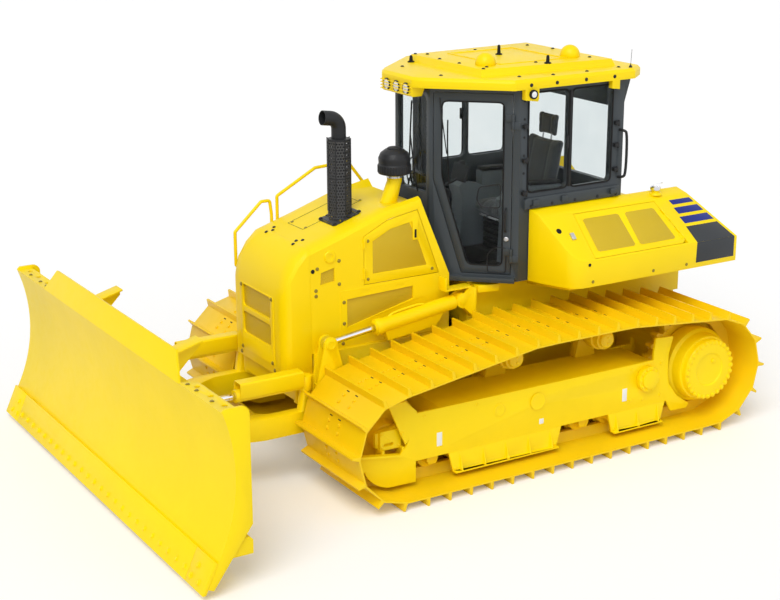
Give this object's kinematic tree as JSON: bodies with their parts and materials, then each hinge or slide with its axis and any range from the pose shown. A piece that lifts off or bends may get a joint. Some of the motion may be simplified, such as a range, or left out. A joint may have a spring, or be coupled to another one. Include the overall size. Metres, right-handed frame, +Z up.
{
  "type": "crawler bulldozer",
  "caption": "Mid-size crawler bulldozer with wide low-ground-pressure tracks, an enclosed cab and a six-way blade that lifts, angles and tilts.",
  "frame": {"origin": "on the ground under the middle of the machine's length and width", "axes": "-Y forward towards the blade, +X to the machine's left, +Z up"},
  "size_m": [4.2, 5.8, 3.2981],
  "materials": {
    "yellow_paint": "semi-gloss enamel",
    "track_yellow": "enamel with soil wear",
    "mesh_yellow": "painted perforated sheet",
    "dark_grey_paint": "satin paint",
    "black_paint": "satin paint",
    "chrome_rod": "polished rod",
    "tinted_glass": "lightly tinted safety glass",
    "seat_cloth": "woven seat cloth",
    "black_plastic": "moulded plastic"
  },
  "bodies": {
    "chassis": {"main_frame": "yellow_paint", "engine_block": "black_paint", "rear_hitch": "yellow_paint", "front_mask": "yellow_paint", "hood": "yellow_paint", "grille_panels": "mesh_yellow", "exhaust_stack": "black_paint", "exhaust_guard": "black_paint", "intake_pipe": "yellow_paint", "precleaner": "black_plastic", "cab_shell": "dark_grey_paint", "cab_windows": "tinted_glass", "cab_floor": "dark_grey_paint", "operator_seat": "seat_cloth", "seat_consoles": "black_plastic", "cab_roof": "yellow_paint", "roof_lamps": "yellow_paint", "roof_domes": "yellow_paint", "rear_box": "dark_grey_paint", "side_boxes": "yellow_paint", "rear_tank": "yellow_paint", "handrails": "yellow_paint", "track_frames": "yellow_paint", "roller_guards": "yellow_paint", "idlers": "yellow_paint", "sprockets": "yellow_paint", "final_drives": "yellow_paint", "track_rollers": "yellow_paint", "carrier_rollers": "yellow_paint", "pivot_shaft": "yellow_paint", "track_left": "track_yellow", "track_right": "track_yellow"},
    "c_frame": {"c_frame": "yellow_paint", "angle_barrels": "yellow_paint"},
    "trunnion": {"blade_trunnion": "yellow_paint"},
    "blade": {"blade": "yellow_paint", "blade_frame": "yellow_paint", "cutting_edge": "yellow_paint"},
    "lift_barrel_left": {"lift_barrel_left": "yellow_paint"},
    "lift_rod_left": {"lift_rod_left": "chrome_rod"},
    "angle_rod_left": {"angle_rod_left": "chrome_rod"},
    "cab_door_left": {"cab_door_left": "dark_grey_paint", "door_glass_left": "tinted_glass"},
    "engine_door_left": {"engine_door_left": "yellow_paint"},
    "service_door_left": {"service_door_left": "yellow_paint"},
    "lift_barrel_right": {"lift_barrel_right": "yellow_paint"},
    "lift_rod_right": {"lift_rod_right": "chrome_rod"},
    "angle_rod_right": {"angle_rod_right": "chrome_rod"},
    "cab_door_right": {"cab_door_right": "dark_grey_paint", "door_glass_right": "tinted_glass"},
    "engine_door_right": {"engine_door_right": "yellow_paint"},
    "service_door_right": {"service_door_right": "yellow_paint"},
    "tilt_barrel": {"tilt_barrel": "yellow_paint"},
    "tilt_rod": {"tilt_rod": "chrome_rod"}
  },
  "joints": [
    {"name": "blade_lift", "type": "hinge", "parent": "chassis", "child": "c_frame", "pos_m": [0, 0.1, 0.48], "axis": [-1, 0, 0], "range_deg": [-10, 21.5]},
    {"name": "blade_angle", "type": "hinge", "parent": "c_frame", "child": "trunnion", "pos_m": [0, -2.33, 0.51], "axis": [0, 0, 1], "range_deg": [-25, 25]},
    {"name": "blade_tilt", "type": "hinge", "parent": "trunnion", "child": "blade", "pos_m": [0, -2.46, 0.5], "axis": [0, 1, 0], "range_deg": [-8, 8]},
    {"name": "lift_barrel_left_swing", "type": "hinge", "parent": "chassis", "child": "lift_barrel_left", "pos_m": [0.583, 0.217, 1.29], "axis": [-1, 0, 0], "range_deg": [-9.3, 19.42]},
    {"name": "lift_rod_left_slide", "type": "slide", "parent": "lift_barrel_left", "child": "lift_rod_left", "axis": [0, -0.9916, -0.129], "range_m": [-0.2966, 0.139]},
    {"name": "angle_rod_left_slide", "type": "slide", "parent": "c_frame", "child": "angle_rod_left", "axis": [0, -1, 0], "range_m": [-0.2429, 0.2429]},
    {"name": "lift_barrel_right_swing", "type": "hinge", "parent": "chassis", "child": "lift_barrel_right", "pos_m": [-0.583, 0.217, 1.29], "axis": [-1, 0, 0], "range_deg": [-9.3, 19.42]},
    {"name": "lift_rod_right_slide", "type": "slide", "parent": "lift_barrel_right", "child": "lift_rod_right", "axis": [0, -0.9916, -0.129], "range_m": [-0.2966, 0.139]},
    {"name": "angle_rod_right_slide", "type": "slide", "parent": "c_frame", "child": "angle_rod_right", "axis": [0, -1, 0], "range_m": [-0.2429, 0.2429]},
    {"name": "tilt_barrel_swing", "type": "hinge", "parent": "trunnion", "child": "tilt_barrel", "pos_m": [0.15, -2.335, 1.065], "axis": [0, 1, 0], "range_deg": [-8, 8]},
    {"name": "tilt_rod_slide", "type": "slide", "parent": "tilt_barrel", "child": "tilt_rod", "axis": [-1, 0, 0], "range_m": [-0.09, 0.09]},
    {"name": "cab_door_left_hinge", "type": "hinge", "parent": "chassis", "child": "cab_door_left", "pos_m": [0.7597, 0.6061, 2.2], "axis": [0, 0, 1], "range_deg": [0, 100]},
    {"name": "engine_door_left_hinge", "type": "hinge", "parent": "chassis", "child": "engine_door_left", "pos_m": [0.468, -0.64, 1.75], "axis": [0, 0, -1], "range_deg": [0, 100]},
    {"name": "service_door_left_hinge", "type": "hinge", "parent": "chassis", "child": "service_door_left", "pos_m": [1.2393, 2.13, 1.6705], "axis": [-0.6749, -0.2846, 0.6808], "range_deg": [0, 90]},
    {"name": "cab_door_right_hinge", "type": "hinge", "parent": "chassis", "child": "cab_door_right", "pos_m": [-0.7597, 0.6061, 2.2], "axis": [0, 0, -1], "range_deg": [0, 100]},
    {"name": "engine_door_right_hinge", "type": "hinge", "parent": "chassis", "child": "engine_door_right", "pos_m": [-0.468, -0.64, 1.75], "axis": [0, 0, 1], "range_deg": [0, 100]},
    {"name": "service_door_right_hinge", "type": "hinge", "parent": "chassis", "child": "service_door_right", "pos_m": [-1.2393, 2.13, 1.6705], "axis": [-0.6749, 0.2846, -0.6808], "range_deg": [0, 90]}
  ],
  "couplings": [
    {"joint": "lift_barrel_left_swing", "follows": "blade_lift", "ratio": 0.88},
    {"joint": "lift_rod_left_slide", "follows": "blade_lift", "m_per_rad": -0.785},
    {"joint": "angle_rod_left_slide", "follows": "blade_angle", "m_per_rad": -0.5521},
    {"joint": "lift_barrel_right_swing", "follows": "blade_lift", "ratio": 0.88},
    {"joint": "lift_rod_right_slide", "follows": "blade_lift", "m_per_rad": -0.785},
    {"joint": "angle_rod_right_slide", "follows": "blade_angle", "m_per_rad": 0.5521},
    {"joint": "tilt_barrel_swing", "follows": "blade_tilt", "ratio": 0.81},
    {"joint": "tilt_rod_slide", "follows": "blade_tilt", "m_per_rad": -0.564}
  ]
}
